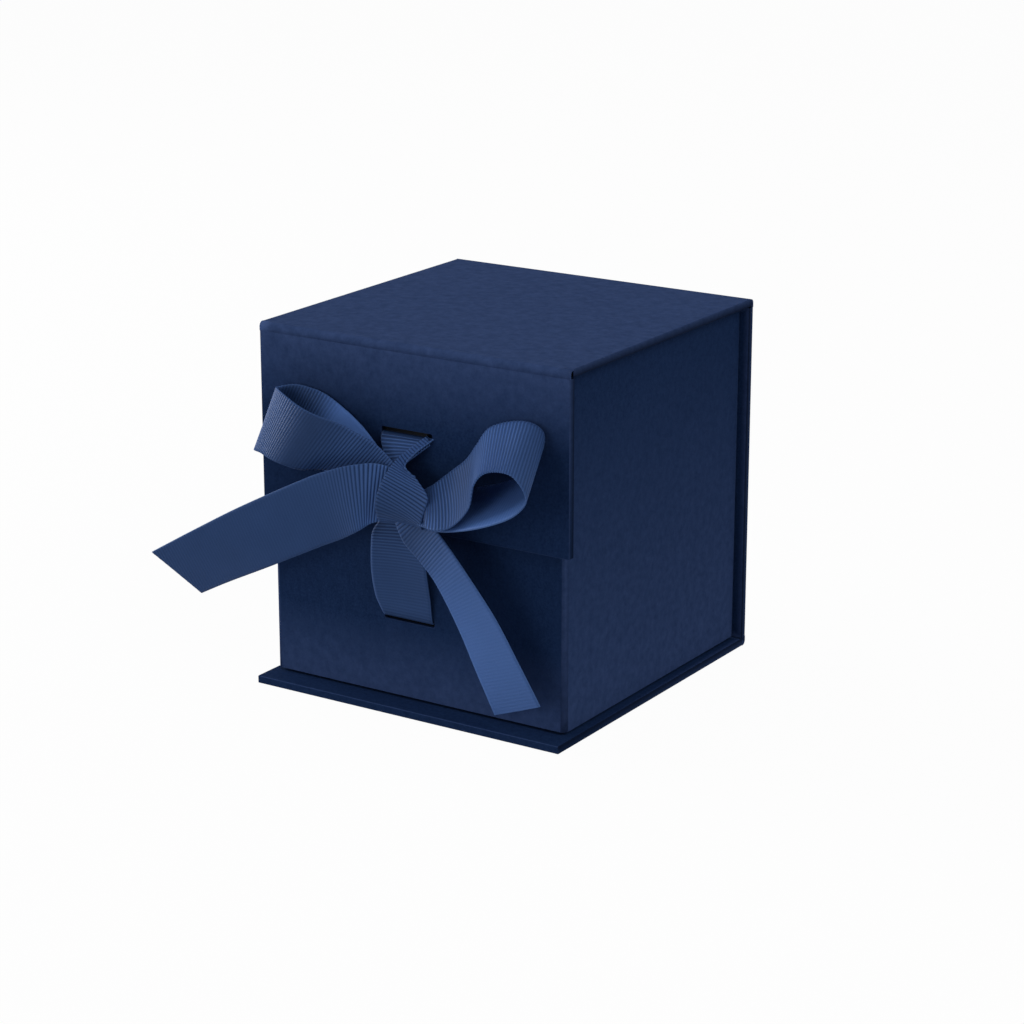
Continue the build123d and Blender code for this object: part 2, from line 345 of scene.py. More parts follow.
@dataclass(frozen=True)
class RibbonFinish:
    """Grosgrain: cross ribs covered by fine lengthwise threads, in the ribbon's own metres, with painted
    highlight on the rib tops and edges, painted shade in the rib hollows, painted light and shade set along
    each stretch, and painted shadow inside the slots.
    """

    name: str = "grosgrain_slate_blue"
    # These two colours span the cloth's random shading and also paint shade in the rib hollows and highlight
    # on the rib tops.
    dye_and_valley_shade: Colour = srgb(32, 54, 92)
    dye_and_crest_highlight: Colour = srgb(96, 136, 209)
    # Painted shadow: the near-black the ribbon turns to inside the slots.
    hidden: Colour = srgb(3, 6, 14)
    # The woven edge's own paleness together with a painted highlight along both edges.
    selvedge_and_highlight: Colour = srgb(80, 112, 170)
    selvedge_and_highlight_share: float = 0.025
    thread_pitch: float = 0.26 * MM
    wander_scale: float = 900.0
    wander_stretch: Point = (1.0, 0.12, 1.0)
    lint_scale: float = 3200.0
    cloud_scale: float = 60.0
    rib_phase: float = math.pi / 2 - 0.25
    roughness: float = 0.56
    reflection: float = 0.08
    relief: float = 0.07 * MM

    def build(self) -> bpy.types.Material:
        """Makes the ribbon's material."""
        graph = Graph.of_material(self.name)
        flat = graph.add("ShaderNodeUVMap", {"uv_map": "ribbon"})
        across = graph.add("ShaderNodeSeparateXYZ", inputs={0: flat}, output="X")
        along = graph.add("ShaderNodeSeparateXYZ", inputs={0: flat}, output="Y")
        wander = graph.noise(graph.stretched(flat, self.wander_stretch), self.wander_scale, 2.0)
        # The rib wave follows the real ribs, so its colour is painted highlight on their tops and painted
        # shade in their hollows.
        wave = (along * (2 * math.pi / RIB_PITCH) + self.rib_phase + wander * 0.5).sine()
        rib = wave * 0.5 * graph.attribute("rib_depth") + 0.5
        thread = (across * (2 * math.pi / self.thread_pitch) + wander * 2.0).sine() * 0.5 + 0.5
        lint = graph.noise(flat, self.lint_scale, 3.0, 0.7)
        cloud = graph.noise(flat, self.cloud_scale, 2.0)
        # Painted light and shade from each rung: above 0 paler, below 0 darker.
        lift = graph.attribute("tone")
        tone = (rib * 0.74 + thread * 0.12 + lint * 0.3 + cloud * 0.22 - 0.18 + lift) * 0.46
        cloth = graph.mix(tone, self.dye_and_valley_shade, self.dye_and_crest_highlight)
        from_middle = (across * (1 / RIBBON_WIDTH) - 0.5).absolute()
        edged_and_highlit = graph.mix((from_middle - (0.5 - self.selvedge_and_highlight_share)) * 16.0, cloth, self.selvedge_and_highlight)
        return graph.surface(
            {
                # Painted shadow inside the slots, where the rungs' painted light falls below -0.5.
                "Base Color": graph.mix(-0.5 - lift, edged_and_highlit, self.hidden),
                "Roughness": self.roughness - rib * 0.1,
                "Specular IOR Level": self.reflection,
                "Normal": graph.bump(rib * 0.5 + thread * 0.25 + lint * 0.3, self.relief, 0.6),
            }
        )


@dataclass(frozen=True)
class MagnetFinish:
    """Nickel plating with a faint turned grain."""

    name: str = "nickel_plate"
    dull: Colour = srgb(176, 176, 178)
    bright: Colour = srgb(214, 214, 216)
    grain_scale: float = 500.0
    grain_stretch: Point = (1.0, 1.0, 12.0)
    roughness: float = 0.22
    relief: float = 0.01 * MM

    def build(self) -> bpy.types.Material:
        """Makes the plating's material."""
        graph = Graph.of_material(self.name)
        grain = graph.noise(graph.stretched(graph.place(), self.grain_stretch), self.grain_scale, 3.0)
        return graph.surface(
            {
                "Base Color": graph.mix(grain, self.dull, self.bright),
                "Metallic": 1.0,
                "Roughness": self.roughness + grain * 0.14,
                "Normal": graph.bump(grain, self.relief, 0.4),
            }
        )


class Finishes:
    """Every finish of the object, made once."""

    def __init__(self) -> None:
        """Builds the materials."""
        lining = PaperFinish(
            "navy_lining_paper",
            deep=srgb(20, 39, 71),
            pale=srgb(32, 53, 90),
            rubbed_and_highlight=srgb(50, 74, 116),
            roughness=0.82,
        )
        self._by_slot = {
            Slot.COVER: PaperFinish("navy_cover_paper").build(),
            Slot.LINING: lining.build(),
            Slot.BOARD: BoardFinish().build(),
            Slot.RIBBON: RibbonFinish().build(),
            Slot.MAGNET: MagnetFinish().build(),
        }

    def of(self, slot: Slot) -> bpy.types.Material:
        """Gives the material of a slot."""
        return self._by_slot[slot]


def finished_object(
    name: str, mesh_builder: bmesh.types.BMesh, material: bpy.types.Material
) -> bpy.types.Object:
    """Turns a bmesh into a shown object at the origin.

    Args:
        name: The piece's name.
        mesh_builder: Its mesh, which is freed.
        material: Its only material.

    Returns:
        The new object.
    """
    mesh = bpy.data.meshes.new(name)
    mesh_builder.to_mesh(mesh)
    mesh_builder.free()
    mesh.materials.append(material)
    piece = bpy.data.objects.new(name, mesh)
    bpy.context.scene.collection.objects.link(piece)
    return piece


def dressed_piece(
    name: str, node: str, slot: Slot, builder: bmesh.types.BMesh, finishes: Finishes
) -> bpy.types.Object:
    """Turns a bmesh into a piece that stands in for a node of the frame.

    Args:
        name: The piece's name.
        node: The node that it replaces.
        slot: Its material slot.
        builder: Its mesh, which is freed.
        finishes: The object's materials.

    Returns:
        The piece, which still needs its body.
    """
    piece = finished_object(name, builder, finishes.of(slot))
    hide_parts(node)
    return piece


def mark_wear_and_highlight(builder: bmesh.types.BMesh, least: float = 0.0, gain: float = 3.0) -> None:
    """Writes how far each vertex is turned from the axes, which is where paper is paler from rubbing and, on
    the folds, where a painted highlight goes.

    Args:
        builder: The piece's mesh.
        least: The least paleness, from rubbing and painted highlight, that a vertex gets.
        gain: How fast that paleness grows as a vertex turns away.
    """
    wear_and_highlight = builder.verts.layers.float.new("wear_and_highlight")
    builder.normal_update()
    for vertex in builder.verts:
        turned = 1 - max(abs(vertex.normal.x), abs(vertex.normal.y), abs(vertex.normal.z))
        vertex[wear_and_highlight] = min(1.0, max(least, turned * gain))


def mark_painted_edge_shade(
    builder: bmesh.types.BMesh,
    lined: Vector | None = None,
    slot: "SlotCut | None" = None,
    outer_half: float = 0.3,
) -> None:
    """Marks where painted shade goes: where the paper turns away from the light on a panel's narrow sides
    and in a slot's depth.

    Args:
        builder: The panel's mesh.
        lined: The way to the lined side, when the panel's two narrow sides are marked.
        slot: The slot whose depth is marked.
        outer_half: How much painted shade the outer half of a narrow side gets beside its lined half.
    """
    edge = builder.verts.layers.float.new("painted_edge_shade")
    middle = sum((v.co for v in builder.verts), Vector()) / len(builder.verts)
    for vertex in builder.verts:
        vertex[edge] = 0.0
        # Painted shade: full on the lined half of a narrow side, outer_half on the rest, and full in a
        # slot's depth.
        if lined is not None and any(abs(face.normal.x) > ACROSS for face in vertex.link_faces):
            vertex[edge] = 1.0 if (vertex.co - middle).dot(lined) > 0 else outer_half
        if slot is not None and slot.holds_deep(vertex):
            vertex[edge] = 1.0


def shade_by_size(builder: bmesh.types.BMesh, flat_area: float = NARROW_FACE) -> None:
    """Shades the narrow rounded faces smooth and leaves those from flat_area up flat."""
    for face in builder.faces:
        face.smooth = face.calc_area() < flat_area


def slab(low: Vector, high: Vector) -> bmesh.types.BMesh:
    """Gives a box mesh that spans two corners."""
    builder = bmesh.new()
    bmesh.ops.create_cube(builder, size=1.0)
    size = high - low
    bmesh.ops.scale(builder, vec=size, verts=builder.verts)
    bmesh.ops.translate(builder, vec=(low + high) / 2, verts=builder.verts)
    return builder


def face_towards(builder: bmesh.types.BMesh, direction: Vector) -> bmesh.types.BMFace:
    """Gives the largest face whose normal is that direction."""
    builder.normal_update()
    facing = [f for f in builder.faces if f.normal.dot(direction) > ALONG]
    return max(facing, key=lambda f: f.calc_area())


def round_edges(
    builder: bmesh.types.BMesh, edges: list[bmesh.types.BMEdge], radius: float, segments: int = 4
) -> None:
    """Bevels edges to a round of that radius."""
    bmesh.ops.bevel(
        builder,
        geom=edges,
        offset=radius,
        offset_type="OFFSET",
        segments=segments,
        profile=0.5,
        affect="EDGES",
        clamp_overlap=True,
        material=-1,
    )


@dataclass
class SlotCut:
    """A ribbon slot through a panel's front face."""

    centre_x: float
    centre_z: float
    width: float = 18.1 * MM
    height: float = 1.8 * MM
    rim_depth: float = 1.7 * MM
    end_radius: float = 0.5 * MM
    rim_radius: float = 0.12 * MM

    def cut(self, builder: bmesh.types.BMesh) -> None:
        """Cuts the slot out of the face that looks to -Y and turns its rim inward.

        Args:
            builder: The panel's mesh.
        """
        front = face_towards(builder, Vector((0, -1, 0)))
        front_y = front.calc_center_median().y
        x_range = (self.centre_x - self.width / 2, self.centre_x + self.width / 2)
        z_range = (self.centre_z - self.height / 2, self.centre_z + self.height / 2)
        planes = [(Vector((x, 0, 0)), Vector((1, 0, 0))) for x in x_range]
        planes += [(Vector((0, 0, z)), Vector((0, 0, 1))) for z in z_range]
        for point, normal in planes:
            sheet = [f for f in builder.faces if self._in_plane(f, front_y)]
            geometry = {*sheet, *(e for f in sheet for e in f.edges), *(v for f in sheet for v in f.verts)}
            bmesh.ops.bisect_plane(
                builder, geom=list(geometry), plane_co=point, plane_no=normal, dist=SNAP
            )
        centre = Vector((self.centre_x, front_y, self.centre_z))
        sheet = [f for f in builder.faces if self._in_plane(f, front_y)]
        hole = min(sheet, key=lambda f: (f.calc_center_median() - centre).length)
        sunk = bmesh.ops.extrude_discrete_faces(builder, faces=[hole])["faces"][0]
        bmesh.ops.translate(builder, vec=(0, self.rim_depth, 0), verts=sunk.verts)
        rims = [e for e in builder.edges if self._upright(e, centre)]
        bmesh.ops.delete(builder, geom=[sunk], context="FACES_ONLY")
        round_edges(builder, rims, self.end_radius)
        edge_loop = [e for e in builder.edges if self._on_rim(e, centre, front_y)]
        round_edges(builder, edge_loop, self.rim_radius, segments=2)

    @staticmethod
    def _in_plane(face: bmesh.types.BMFace, front_y: float) -> bool:
        """Tells whether a face lies in the front plane."""
        return all(abs(v.co.y - front_y) < TOUCH for v in face.verts)

    def _near(self, vertex: bmesh.types.BMVert, centre: Vector) -> bool:
        """Tells whether a vertex belongs to the slot."""
        return (
            abs(vertex.co.x - centre.x) <= self.width / 2 + TOUCH
            and abs(vertex.co.z - centre.z) <= self.height / 2 + TOUCH
            and abs(vertex.co.y - centre.y) <= self.rim_depth + TOUCH
        )

    def holds_deep(self, vertex: bmesh.types.BMVert) -> bool:
        """Tells whether a vertex lies on the slot's open inner end."""
        beside = abs(vertex.co.x - self.centre_x) <= self.width / 2 + 10 * TOUCH
        return vertex.is_boundary and beside and abs(vertex.co.z - self.centre_z) <= self.height

    def _upright(self, edge: bmesh.types.BMEdge, centre: Vector) -> bool:
        """Tells whether an edge is one of the slot's corners through the paper."""
        first, second = edge.verts
        deep = abs(first.co.y - second.co.y) > self.rim_depth / 2
        return deep and self._near(first, centre) and self._near(second, centre)

    def _on_rim(self, edge: bmesh.types.BMEdge, centre: Vector, front_y: float) -> bool:
        """Tells whether an edge is part of the slot's outer rim."""
        ends = all(self._near(v, centre) and abs(v.co.y - front_y) < TOUCH for v in edge.verts)
        return ends and any(abs(f.normal.y) < ACROSS for f in edge.link_faces)


@dataclass
class WrappedPanel:
    """A greyboard panel's cover paper: a box with round edges pale from rubbing, painted shade on its narrow
    sides and in its slot, and a lined inner side.
    """

    name: str
    node: str
    body: Body
    lined: Vector
    folds: tuple[Vector, ...]
    radius: float = 0.3 * MM
    slot: SlotCut | None = None

    def build(self, finishes: Finishes) -> bpy.types.Object:
        """Makes the panel's cover.

        Args:
            finishes: The object's materials.

        Returns:
            The piece, riding on its body.
        """
        low, high = (Vector(corner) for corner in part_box(self.node))
        builder = slab(low, high)
        rounded = [e for e in builder.edges if not self._meets_fold(e)]
        round_edges(builder, rounded, self.radius)
        inner = face_towards(builder, self.lined)
        bmesh.ops.inset_region(builder, faces=[inner], thickness=LINER_MARGIN - self.radius)
        bmesh.ops.translate(builder, vec=self.lined * (-PAPER / 2), verts=inner.verts)
        if self.slot is not None:
            self.slot.cut(builder)
        mark_wear_and_highlight(builder)
        # Painted shade on the narrow sides and in the slot.
        mark_painted_edge_shade(builder, self.lined, self.slot)
        shade_by_size(builder)
        piece = dressed_piece(self.name, self.node, Slot.COVER, builder, finishes)
        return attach(piece, self.body.value)

    def _meets_fold(self, edge: bmesh.types.BMEdge) -> bool:
        """Tells whether an edge borders a side that the paper folds over."""
        return any(f.normal.dot(way) > ALONG for f in edge.link_faces for way in self.folds)


@dataclass
class LinerSheet:
    """A paper glued on an inner side, raised a little along the way in which it stands proud."""

    name: str
    node: str
    body: Body
    proud: Vector
    lift: float = 0.04 * MM
    edge_radius: float = 0.05 * MM

    def build(self, finishes: Finishes) -> bpy.types.Object:
        """Makes the liner as a thin sheet with soft edges.

        Args:
            finishes: The object's materials.

        Returns:
            The piece, riding on its body.
        """
        low, high = (Vector(corner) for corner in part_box(self.node))
        builder = slab(low, high)
        bmesh.ops.translate(builder, vec=self.proud * self.lift, verts=builder.verts)
        round_edges(builder, list(builder.edges), self.edge_radius, segments=2)
        mark_wear_and_highlight(builder)
        shade_by_size(builder)
        piece = dressed_piece(self.name, self.node, Slot.LINING, builder, finishes)
        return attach(piece, self.body.value)


@dataclass
class PaperFold:
    """The cover paper where it bends round an outer corner of the case, and hinges there."""

    name: str
    node: str
    toward_y: int
    toward_z: int
    bodies: tuple[Body, ...]
    radius: float = 1.5 * MM
    thickness: float = 0.4 * MM
    joining: float = 0.2 * MM
    # The whole bend is at least this pale: rubbing along the fold and a painted highlight on it.
    least_wear_and_highlight: float = 0.88
    bend_steps: int = 10

    def build(self, finishes: Finishes) -> bpy.types.Object:
        """Makes the fold from a bent profile drawn out along the case's width.

        Args:
            finishes: The object's materials.

        Returns:
            The piece, riding on one body, or on none when it spans two.
        """
        low, high = (Vector(corner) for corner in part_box(self.node))
        if self.toward_z > 0:
            high.z += self.joining
        else:
            low.z -= self.joining
        corner = Vector((low.x, self._outer(low.y, high.y, self.toward_y), 0))
        corner.z = self._outer(low.z, high.z, self.toward_z)
        size = high - low
        builder = self._profile(corner, size)
        self._draw_out(builder, size.x)
        self._thicken(builder)
        # Paleness over the whole fold: rubbing and a painted highlight.
        mark_wear_and_highlight(builder, self.least_wear_and_highlight)
        self._shade(builder)
        piece = dressed_piece(self.name, self.node, Slot.COVER, builder, finishes)
        return self._carry(piece)

    def _profile(self, corner: Vector, size: Vector) -> bmesh.types.BMesh:
        """Makes the bend's outer line with a straight run at each end.

        Args:
            corner: The sharp corner that the bend rounds, at the case's left end.
            size: The fold's extent.

        Returns:
            The line's mesh.
        """
        centre = corner + Vector((0, self.toward_y, self.toward_z)) * self.radius
        builder = bmesh.new()
        first = builder.verts.new((corner.x, centre.y, corner.z))
        turned = bmesh.ops.spin(
            builder,
            geom=[first],
            cent=centre,
            axis=(1, 0, 0),
            angle=math.pi / 2 * -self.toward_y * self.toward_z,
            steps=self.bend_steps,
            use_duplicate=False,
        )
        last = next(g for g in turned["geom_last"] if isinstance(g, bmesh.types.BMVert))
        self._run_on(builder, first, Vector((0, (size.y - self.radius) * self.toward_y, 0)))
        self._run_on(builder, last, Vector((0, 0, (size.z - self.radius) * self.toward_z)))
        return builder

    def _thicken(self, builder: bmesh.types.BMesh) -> None:
        """Turns the sheet's faces outward and gives it the paper's thickness inward."""
        bmesh.ops.recalc_face_normals(builder, faces=builder.faces)
        top = max(builder.faces, key=lambda f: f.calc_center_median().z * -self.toward_z)
        if top.normal.z * -self.toward_z < 0:
            bmesh.ops.reverse_faces(builder, faces=builder.faces)
        bmesh.ops.solidify(builder, geom=builder.faces[:], thickness=self.thickness)

    def _shade(self, builder: bmesh.types.BMesh) -> None:
        """Shades the bend smooth, and flat what faces the panels or the case's sides."""
        for face in builder.faces:
            normal = face.normal
            hidden = max(abs(normal.x), normal.y * self.toward_y, normal.z * self.toward_z)
            face.smooth = hidden < ALONG

    def _carry(self, piece: bpy.types.Object) -> bpy.types.Object:
        """Joins the fold to its one body; a fold that spans two bodies keeps its place on none."""
        if len(self.bodies) == 1:
            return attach(piece, self.bodies[0].value)
        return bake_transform(piece)

    @staticmethod
    def _outer(low: float, high: float, toward: int) -> float:
        """Gives the side of a range that lies away from the panels."""
        return low if toward > 0 else high

    @staticmethod
    def _run_on(builder: bmesh.types.BMesh, end: bmesh.types.BMVert, step: Vector) -> None:
        """Draws the profile straight on from one end."""
        new = bmesh.ops.extrude_vert_indiv(builder, verts=[end])["verts"]
        bmesh.ops.translate(builder, vec=step, verts=new)

    @staticmethod
    def _draw_out(builder: bmesh.types.BMesh, width: float, steps: int = 24) -> None:
        """Draws the profile out along X in even steps."""
        line = builder.edges[:]
        for _ in range(steps):
            new = bmesh.ops.extrude_edge_only(builder, edges=line)["geom"]
            moved = [g for g in new if isinstance(g, bmesh.types.BMVert)]
            line = [g for g in new if isinstance(g, bmesh.types.BMEdge)]
            bmesh.ops.translate(builder, vec=(width / steps, 0, 0), verts=moved)


@dataclass
class TrayShell:
    """The tray's papers: the cover outside and over the rim, the lining and the floor inside."""

    corner_radius: float = 1.6 * MM
    rim_radius: float = 0.45 * MM
    wall: float = 1.85 * MM
    turned_in: float = 15.0 * MM
    lining_drop: float = 3.0 * MM
    lining_thickness: float = 1.6 * PAPER
    broad_face: float = 60e-6
    slot: SlotCut = field(default_factory=lambda: SlotCut(-3.1 * MM, 27.8 * MM))

    def build(self, finishes: Finishes) -> list[bpy.types.Object]:
        """Makes the tray's three papers.

        Args:
            finishes: The object's materials.

        Returns:
            The cover, the lining and the floor paper.
        """
        floor = LinerSheet("tray_floor_lining", "tray_floor_paper", Body.BOX, proud=Vector())
        return [self._cover(finishes), self._lining(finishes), floor.build(finishes)]

    def _cover(self, finishes: Finishes) -> bpy.types.Object:
        """Makes the cover with its rounded corners, its rim and its turned-in edge."""
        low, high = (Vector(corner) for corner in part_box("tray_wrap"))
        builder = slab(low, high)
        uprights = [e for e in builder.edges if abs(e.verts[0].co.z - e.verts[1].co.z) > TOUCH]
        round_edges(builder, uprights, self.corner_radius, segments=8)
        top = face_towards(builder, Vector((0, 0, 1)))
        bmesh.ops.inset_region(builder, faces=[top], thickness=self.wall)
        inner = bmesh.ops.extrude_discrete_faces(builder, faces=[top])["faces"][0]
        bmesh.ops.translate(builder, vec=(0, 0, -self.turned_in), verts=inner.verts)
        bmesh.ops.delete(builder, geom=[inner], context="FACES_ONLY")
        rim = [
            e
            for e in builder.edges
            if all(abs(v.co.z - high.z) < TOUCH for v in e.verts)
            and any(abs(f.normal.z) < ACROSS for f in e.link_faces)
        ]
        round_edges(builder, rim, self.rim_radius)
        self.slot.cut(builder)
        mark_wear_and_highlight(builder)
        # Painted shade in the slot's depth.
        mark_painted_edge_shade(builder, slot=self.slot)
        shade_by_size(builder, self.broad_face)
        piece = dressed_piece("tray_cover_paper", "tray_wrap", Slot.COVER, builder, finishes)
        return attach(piece, Body.BOX.value)

    def _lining(self, finishes: Finishes) -> bpy.types.Object:
        """Makes the lining as a thin four-walled sleeve that stops short of the rim."""
        low, high = (Vector(corner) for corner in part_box("tray_lining"))
        high.z -= self.lining_drop
        builder = slab(low, high)
        ends = [face_towards(builder, Vector((0, 0, side))) for side in (-1, 1)]
        bmesh.ops.delete(builder, geom=ends, context="FACES_ONLY")
        bmesh.ops.reverse_faces(builder, faces=builder.faces)
        bmesh.ops.solidify(builder, geom=builder.faces[:], thickness=-self.lining_thickness)
        mark_wear_and_highlight(builder)
        piece = dressed_piece("tray_lining_paper", "tray_lining", Slot.LINING, builder, finishes)
        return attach(piece, Body.BOX.value)


@dataclass(frozen=True)
class Rung:
    """One line across a ribbon, in millimetres: its ends, its bulge and its ribs' depth, and its painted
    light and shade.
    """

    first: Point
    second: Point
    crown: float = 0.0
    ribs: float = 0.07
    tone: float = 0.0


@dataclass
class RibbonStretch:
    """A stretch of ribbon that runs smoothly through its rungs, with real cross ribs."""

    name: str
    node: str
    body: Body
    rungs: tuple[Rung, ...]
    tuck: float = 0.0
    tuck_gap: float = 0.9 * MM
    cut_at: tuple[Point, Point] | None = None
    thickness: float = 0.42 * MM
    columns: int = 20
    rows_per_rib: int = 6
    samples: int = 24
    look_around: float = 0.05
    fold_share: float = 0.06

    def build(self, finishes: Finishes) -> bpy.types.Object:
        """Makes the ribbon.

        Args:
            finishes: The object's materials.

        Returns:
            The piece, riding on its body.
        """
        lengths = self._running_lengths()
        length = lengths[-1]
        rows = round(length / RIB_PITCH * self.rows_per_rib)
        builder = bmesh.new()
        bmesh.ops.create_grid(
            builder, x_segments=self.columns, y_segments=rows, size=0.5, calc_uvs=False
        )
        uv = builder.loops.layers.uv.new("ribbon")
        depth = builder.verts.layers.float.new("rib_depth")
        # This layer holds the rungs' painted light and shade.
        tone = builder.verts.layers.float.new("tone")
        shares = {v: (v.co.x + 0.5, (v.co.y + 0.5) * length) for v in builder.verts}
        for vertex, (across, run) in shares.items():
            vertex.co = self._point(across, run, lengths)
            shape = self._at(self._shape, self._place_at(run, lengths))
            vertex[depth] = shape.y / FULL_RIB
            vertex[tone] = shape.z
        for face in builder.faces:
            face.smooth = True
            for loop in face.loops:
                across, run = shares[loop.vert]
                loop[uv].uv = (across * RIBBON_WIDTH, run)
        if self.cut_at is not None:
            self._trim(builder)
        bmesh.ops.recalc_face_normals(builder, faces=builder.faces)
        piece = dressed_piece(self.name, self.node, Slot.RIBBON, builder, finishes)
        thicken = piece.modifiers.new("cloth_thickness", "SOLIDIFY")
        thicken.thickness = self.thickness
        thicken.offset = 0.0
        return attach(piece, self.body.value)

    def _at(self, value: Callable[[Rung], Vector], place: float) -> Vector:
        """Gives a value between the rungs by a Catmull-Rom spline.

        Args:
            value: What to read from each rung.
            place: The place, from 0 at the first rung to their number less 1.

        Returns:
            The value there.
        """
        last = len(self.rungs) - 1
        start = min(int(place), last - 1)
        share = place - start
        near = [value(self.rungs[min(max(start + step, 0), last)]) for step in (-1, 0, 1, 2)]
        slope_in = (near[2] - near[0]) / 2
        slope_out = (near[3] - near[1]) / 2
        square, cube = share**2, share**3
        return (
            near[1] * (2 * cube - 3 * square + 1)
            + slope_in * (cube - 2 * square + share)
            + near[2] * (3 * square - 2 * cube)
            + slope_out * (cube - square)
        )

    @staticmethod
    def _shape(rung: Rung) -> Vector:
        """Gives a rung's bulge, rib depth and painted light and shade."""
        return Vector((rung.crown, rung.ribs, rung.tone))

    def _edges(self, place: float) -> tuple[Vector, Vector]:
        """Gives both edges of the ribbon at a place."""
        first = self._at(lambda rung: Vector(rung.first), place)
        second = self._at(lambda rung: Vector(rung.second), place)
        return first * MM, second * MM

    def _running_lengths(self) -> list[float]:
        """Gives the middle line's length at evenly spaced places."""
        places = [i / self.samples for i in range((len(self.rungs) - 1) * self.samples + 1)]
        middles = [sum(self._edges(place), Vector()) / 2 for place in places]
        lengths = [0.0]
        for before, after in zip(middles, middles[1:]):
            lengths.append(lengths[-1] + (after - before).length)
        return lengths

    def _place_at(self, run: float, lengths: list[float]) -> float:
        """Gives the place of a running length."""
        index = min(max(bisect_right(lengths, run) - 1, 0), len(lengths) - 2)
        step = lengths[index + 1] - lengths[index]
        return (index + (run - lengths[index]) / step) / self.samples

    def _point(self, across: float, run: float, lengths: list[float]) -> Vector:
        """Gives one point of the ribbon's middle surface.

        Args:
            across: The share of the width, from 0 to 1.
            run: The length along the ribbon.
            lengths: The middle line's running lengths.

        Returns:
            The point in metres.
        """
        place = self._place_at(run, lengths)
        first, second = self._edges(place)
        behind_fold = max(0.0, self.tuck - across)
        across = (behind_fold + max(0.0, across - self.tuck)) / (1 - self.tuck)
        here = first.lerp(second, across)
        ahead_edges = self._edges(min(place + self.look_around, len(self.rungs) - 1))
        behind_edges = self._edges(max(place - self.look_around, 0.0))
        forward = ahead_edges[0].lerp(ahead_edges[1], across) - behind_edges[0].lerp(behind_edges[1], across)
        outward = forward.cross(second - first).normalized()
        shape = self._at(self._shape, place)
        crown = shape.x * MM * (1 - (2 * across - 1) ** 2)
        rib = shape.y * MM * math.cos(2 * math.pi * run / RIB_PITCH)
        sunk = self.tuck_gap * math.sqrt(min(1.0, behind_fold / self.fold_share))
        return here + outward * (crown + rib - sunk)

    def _trim(self, builder: bmesh.types.BMesh) -> None:
        """Cuts the end off slantwise, on the line between two points."""
        first, second = (Vector(point) * MM for point in self.cut_at)
        end = len(self.rungs) - 1
        last = self._edges(end)
        before = self._edges(end - 0.5)
        forward = sum(last, Vector()) - sum(before, Vector())
        surface = forward.cross(last[1] - last[0]).normalized()
        normal = (second - first).cross(surface).normalized()
        if normal.dot(forward) < 0:
            normal.negate()
        geometry = builder.verts[:] + builder.edges[:] + builder.faces[:]
        bmesh.ops.bisect_plane(
            builder, geom=geometry, plane_co=first, plane_no=normal, dist=SNAP, clear_outer=True
        )


# A rung's fifth number is painted light and shade: above 0 a stretch is painted paler, below 0 darker, and
# from -0.5 down it fades into painted shadow.
LEFT_LOOP = (
    Rung((2.0, -61.0, 76.0), (-1.0, -61.0, 70.0)),
    Rung((-0.5, -61.0, 79.0), (-6.0, -60.5, 73.0)),
    Rung((-6.5, -60.5, 83.2), (-16.0, -60.0, 72.7), 0, 0.09),
    Rung((-11.3, -63.5, 86.9), (-24.3, -61.8, 73.7), 0.6, 0.08),
    Rung((-17.2, -66.0, 90.1), (-30.8, -66.0, 73.8), 0.8, 0.03, -0.25),
    Rung((-23.3, -67.0, 91.5), (-36.0, -67.4, 74.8), 0.6, 0.005, -0.35),
    Rung((-29.5, -67.0, 93.2), (-41.6, -66.6, 75.6), 0.3, 0.04, -0.25),
    Rung((-36.3, -65.0, 95.1), (-46.7, -64.4, 76.1), 0, 0.065, -0.1),
    Rung((-42.5, -61.0, 95.7), (-51.4, -61.5, 75.6)),
    Rung((-44.7, -57.5, 95.2), (-52.0, -58.0, 75.2), 0, 0.05),
    Rung((-39.5, -55.4, 96.2), (-47.5, -56.4, 75.8), -0.8, 0.03, -0.3),
    Rung((-30.7, -54.6, 94.8), (-39.0, -57.0, 75.0), -1.8, 0.09, 0.3),
    Rung((-22.7, -54.4, 90.8), (-32.0, -57.4, 73.0), -2.4, 0.03, 1.8),
    Rung((-15.9, -54.8, 86.4), (-25.0, -57.6, 71.0), -2.2, 0.02, 1.9),
    Rung((-9.9, -56.4, 82.2), (-16.5, -57.6, 69.0), -1.2, 0.04, 0.8),
    Rung((-2.0, -59.0, 77.0), (-5.0, -59.0, 66.0)),
)

